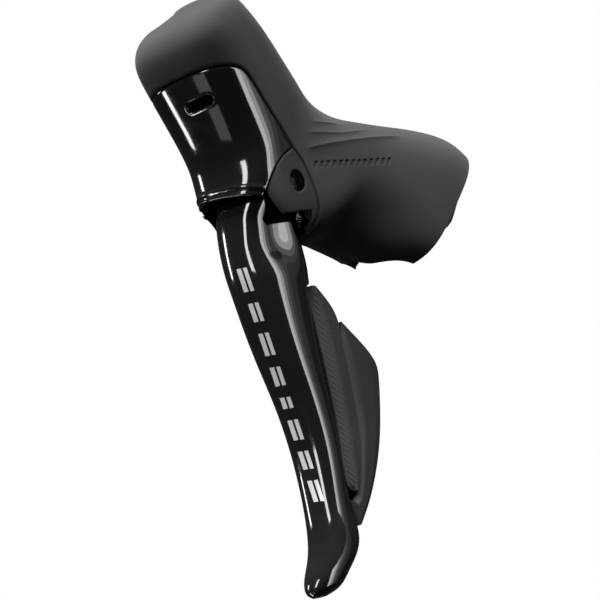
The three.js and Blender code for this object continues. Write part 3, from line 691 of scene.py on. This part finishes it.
# generic silver dashes down the front of the blade: from (x, y, z) to (x, y, z)
DASHES = {
    "start": (74.6, 0.2, -24.0),
    "end": (70.2, 8.6, -87.5),
    "lengths": (6.5, 5.0, 6.0, 5.0, 3.0, 5.5, 5.0, 6.0),
}
DASH_FACING = (0.8, 0.6, 0.0)


def build_dashes():
    points = blade_points(700, 360)
    start, end = np.array(DASHES["start"]), np.array(DASHES["end"])
    span = end - start
    length = np.linalg.norm(span)
    step = span / length
    side = np.cross(step, DASH_FACING)
    side /= np.linalg.norm(side)
    bm = skin(points)
    bm.normal_update()
    total = sum(DASHES["lengths"])
    gap = (length - total) / (len(DASHES["lengths"]) - 1)
    spans, at = [], 0.0
    for size in DASHES["lengths"]:
        spans.append((at, at + size))
        at += size + gap

    def along(p):
        return (p - start) @ step

    def across(p):
        return (p - start) @ side

    def inside(p):
        lean = along(p) + 0.35 * across(p)
        best = np.full(len(p), -9.0)
        for low, high in spans:
            best = np.maximum(best, np.minimum(lean - low, high - lean))
        band = np.minimum(1.35 - np.abs(across(p)), np.abs(across(p) + 0.1) - 0.28)
        return np.minimum(best, band)

    def keep(p):
        return np.where((p - start) @ np.array(DASH_FACING) > -6.0, inside(p), -9.0)

    trim(bm, keep, 0.1, (0.0,))
    push(bm, lambda p: np.full(len(p), 0.05))
    thicken(bm, 0.12)
    return finish_piece(bm, "blade_dashes", SILVER, "lever", (), 40.0)


def tube(path, radius, sides=10):
    """A bmesh of a round section swept along a path, with flat ends."""
    path = np.array(path, float)
    tangents = np.gradient(path, axis=0)
    across = np.cross(tangents[0], (0.3, 1.0, 0.2))
    angles = np.linspace(0, 2 * math.pi, sides, endpoint=False)
    rings = []
    for point, tangent in zip(path, tangents):
        tangent = tangent / np.linalg.norm(tangent)
        across = across - (across @ tangent) * tangent
        across = across / np.linalg.norm(across)
        third = np.cross(tangent, across)
        rings.append([point + radius * (math.cos(a) * across + math.sin(a) * third) for a in angles])
    bm = skin(np.array(rings))
    close_ends(bm)
    return bm


PISTON_START = np.array((62.0, 0, -11.6))
PISTON_TILT = math.radians(26)
PISTON_AXIS = np.array((-math.cos(PISTON_TILT), 0, math.sin(PISTON_TILT)))
SPRING = {"front": 24.2, "back": 40.0, "radius": 3.1, "wire": 0.4, "turns": 6, "travel": 2.7}


def build_piston_spring():
    t = np.linspace(0, 1, SPRING["turns"] * 28)
    turn = 2 * math.pi * SPRING["turns"] * t
    rise = np.clip((t - 0.1) / 0.8, 0, 1) * 0.92 + 0.04 * (t + (t > 0.5))
    length = SPRING["front"] + (SPRING["back"] - SPRING["front"]) * rise
    third = np.cross(PISTON_AXIS, (0, 1, 0))
    path = PISTON_START + length[:, None] * PISTON_AXIS
    path = path + SPRING["radius"] * (np.cos(turn)[:, None] * (0, 1, 0) + np.sin(turn)[:, None] * third)
    spring = finish_piece(
        tube(path, SPRING["wire"]), "return_coil", LOOKS["steel"], "bracket", ["piston_spring"]
    )
    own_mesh(spring)


SWITCH_WIRE = [
    [57.5, -0.5, -29.4], [58.4, -2.6, -24.0], [58.2, -4.5, -15.0], [58.4, -4.6, -7.0],
    [58.8, -5.6, -1.2], [56.5, -7.0, 1.75], [53.4, -8.2, 3.3],
]


def build_switch_wire():
    wire = finish_piece(
        tube(smooth_rows(SWITCH_WIRE, 90), 0.5, 12), "switch_lead", LOOKS["wire"], None,
        ["switch_wire"],
    )
    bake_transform(wire)


build_piston_spring()
build_switch_wire()
build_dashes()
build_hood()
build_front_cover()
build_side_plate(1, OUTER_PLATE_FOOT, "outer_plate", "side_plate_outer")
build_side_plate(-1, INNER_PLATE_FOOT, "inner_plate", "side_plate_inner")
build_blade()
build_paddle("ribbed_paddle", "shift_paddle_front", "paddle_front", FRONT_PADDLE, 460, 54, ribbed)
build_paddle("smooth_paddle", "shift_paddle_rear", "paddle_rear", REAR_PADDLE, 160, 30, crowned)

# ------------------------------------------------------------------ looks of the CAD nodes that stay
slots = {s["node"]: s["material_slot"] for s in frame["record"]["subparts"]}
for name, node in frame["nodes"].items():
    node.data.materials.clear()
    node.data.materials.append(LOOKS[slots[name]])
    for face in node.data.polygons:
        face.use_smooth = True
    bevelled(node, 0.12, 2, 35.0).modifiers[-1].harden_normals = True

# ------------------------------------------------------------------ camera, light and floor
TARGET = Vector((53.4, 0, -31)) * MM
azimuth, elevation, roll = math.radians(40), math.radians(-14), math.radians(10)
DISTANCE = 0.75
toward = Vector((math.cos(azimuth) * math.cos(elevation), math.sin(azimuth) * math.cos(elevation),
                 math.sin(elevation)))
level = Vector((-math.sin(azimuth), math.cos(azimuth), 0))
rise = toward.cross(level)
right = math.cos(roll) * level - math.sin(roll) * rise
up = math.sin(roll) * level + math.cos(roll) * rise

camera_data = bpy.data.cameras.new("camera")
camera_data.sensor_width = 36
camera_data.lens = 171
camera_data.clip_start, camera_data.clip_end = 0.05, 20
camera = bpy.data.objects.new("camera", camera_data)
bpy.context.collection.objects.link(camera)
turned = Matrix((right, up, toward)).transposed().to_4x4()
camera.matrix_world = Matrix.Translation(TARGET + toward * DISTANCE) @ turned
bpy.context.scene.camera = camera


def area_light(name, bearing, height, distance, width, tall, power, diffuse=True, glossy=True):
    """A soft box at a bearing to the right of the camera's own direction."""
    a = azimuth + math.radians(bearing)
    place = TARGET + Vector((math.cos(a) * distance, math.sin(a) * distance, height))
    data = bpy.data.lights.new(name, "AREA")
    data.shape, data.size, data.size_y, data.energy = "RECTANGLE", width, tall, power
    lamp = bpy.data.objects.new(name, data)
    lamp.location = place
    lamp.rotation_euler = (TARGET - place).to_track_quat("-Z", "Y").to_euler()
    lamp.visible_diffuse, lamp.visible_glossy = diffuse, glossy
    bpy.context.collection.objects.link(lamp)


for bearing, power in ((37, 2.6), (50, 1.5), (63, 0.4), (76, 0.16), (90, 0.07)):
    area_light(f"right_strip_{bearing}", bearing, 0.05, 0.7, 0.165, 1.0, power, diffuse=False)
area_light("left_low", -95, -0.36, 0.7, 0.07, 0.46, 1.1)
area_light("left_mid", -104, 0.2, 0.7, 0.07, 0.2, 0.5)
area_light("top_box", -45, 0.95, 0.35, 0.8, 0.6, 58, glossy=False)
area_light("top_right_box", 45, 0.9, 0.5, 0.6, 0.5, 22, glossy=False)
area_light("front_box", -52, 0.36, 0.75, 0.16, 0.5, 2.2)
area_light("quad_box", -66, -0.33, 0.75, 0.22, 0.24, 0.1)

bpy.ops.mesh.primitive_plane_add(size=6, location=(0, 0, -0.45))
floor = bpy.context.object
floor.name = "studio_floor"
paper, nodes, links, shader, where = material("pale_paper")
links.new(
    ramp(nodes, links, noise(nodes, links, where, 3.0), [(0.3, 0.78), (0.7, 0.82)]),
    shader.inputs["Base Color"],
)
shader.inputs["Roughness"].default_value = 0.9
shader.inputs["Emission Color"].default_value = (1, 1, 1, 1)
shader.inputs["Emission Strength"].default_value = 0.62
floor.data.materials.append(paper)
floor.visible_glossy = floor.visible_diffuse = False

world = bpy.data.worlds.new("studio")
bpy.context.scene.world = world
world.use_nodes = True
nodes, links = world.node_tree.nodes, world.node_tree.links
background = nodes["Background"]
background.inputs["Color"].default_value = (0.5, 0.5, 0.52, 1)
background.inputs["Strength"].default_value = 0.06
white = nodes.new("ShaderNodeBackground")
white.inputs["Color"].default_value = (1, 1, 1, 1)
white.inputs["Strength"].default_value = 1.0
seen = nodes.new("ShaderNodeLightPath")
either = nodes.new("ShaderNodeMixShader")
links.new(seen.outputs["Is Camera Ray"], either.inputs["Fac"])
links.new(background.outputs["Background"], either.inputs[1])
links.new(white.outputs["Background"], either.inputs[2])
links.new(either.outputs["Shader"], nodes["World Output"].inputs["Surface"])
bpy.context.scene.view_settings.view_transform = "Standard"
